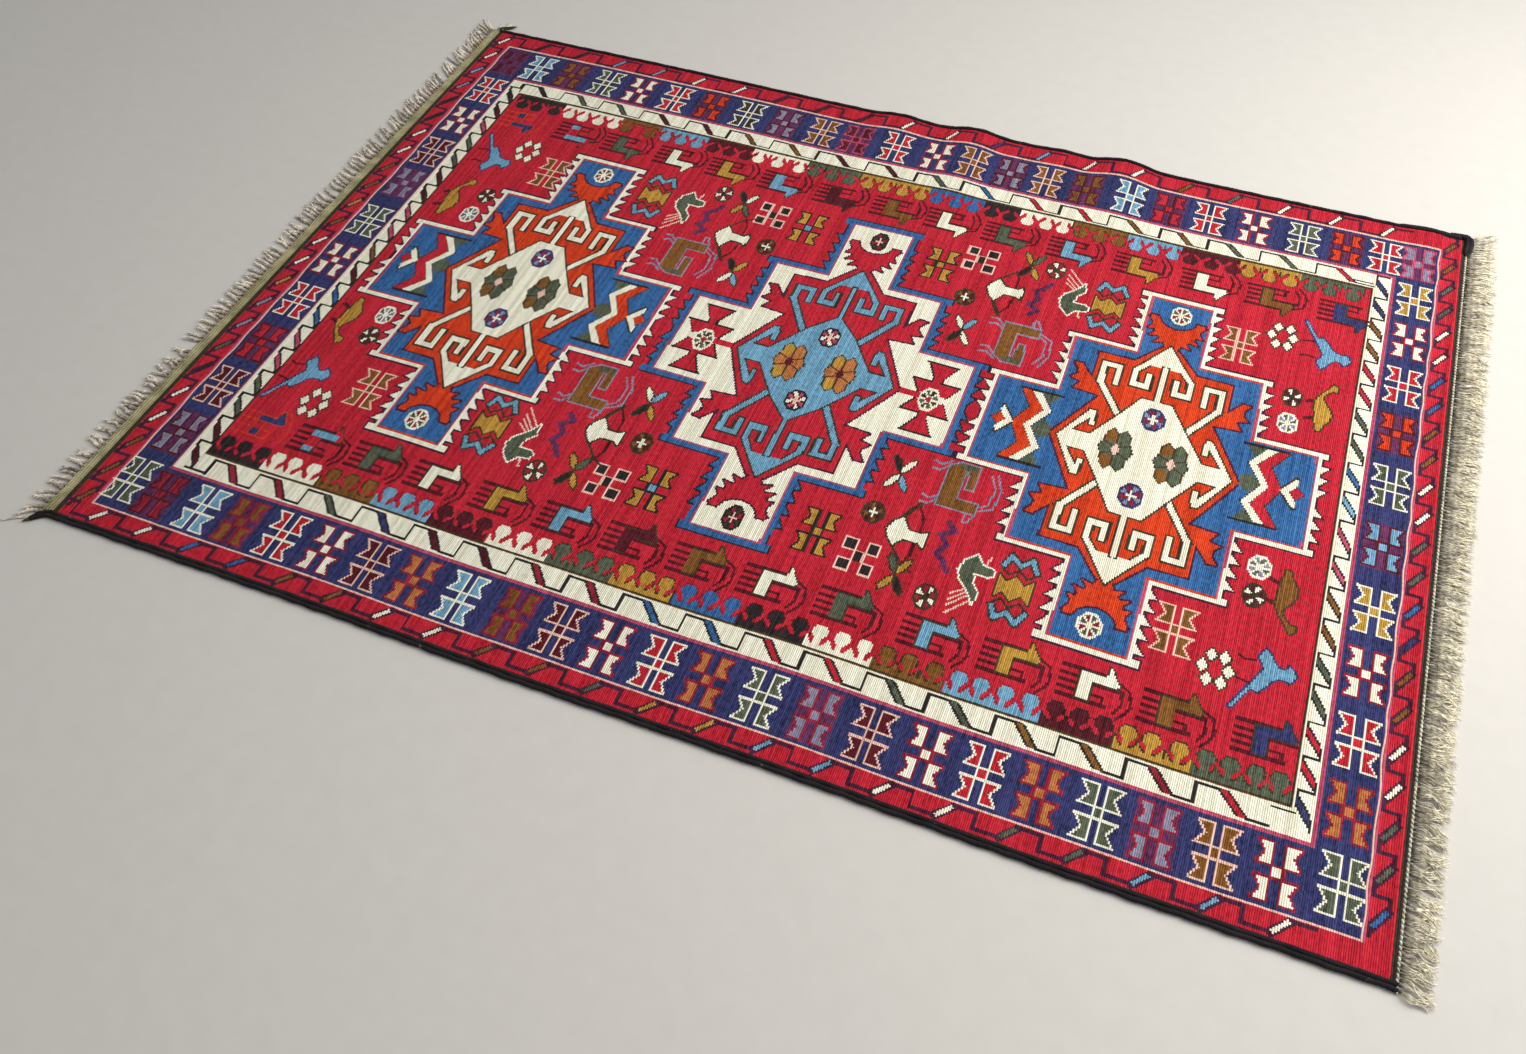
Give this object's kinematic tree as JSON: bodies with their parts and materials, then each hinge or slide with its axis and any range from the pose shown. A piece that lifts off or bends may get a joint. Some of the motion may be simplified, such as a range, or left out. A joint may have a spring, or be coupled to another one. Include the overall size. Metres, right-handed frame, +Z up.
{
  "type": "kilim rug",
  "caption": "Flat woven wool kilim with a red medallion field, a patterned border, dark overcast long edges and pale warp fringes.",
  "frame": {"origin": "on the floor, under the middle of the kilim with its fringes", "axes": "+X along the warps, from one fringe to the other; +Y across, from the near long edge to the far one; +Z up, out of the face"},
  "size_m": [1.692, 1.2134, 0.0155],
  "materials": {
    "woven_wool": "matt wool",
    "overcast_wool": "matt wool",
    "undyed_warp": "matt twisted yarn"
  },
  "bodies": {
    "root": {"cloth": "woven_wool", "selvedge_near": "overcast_wool", "selvedge_far": "overcast_wool", "fringe_left": "undyed_warp", "fringe_right": "undyed_warp"}
  },
  "joints": []
}
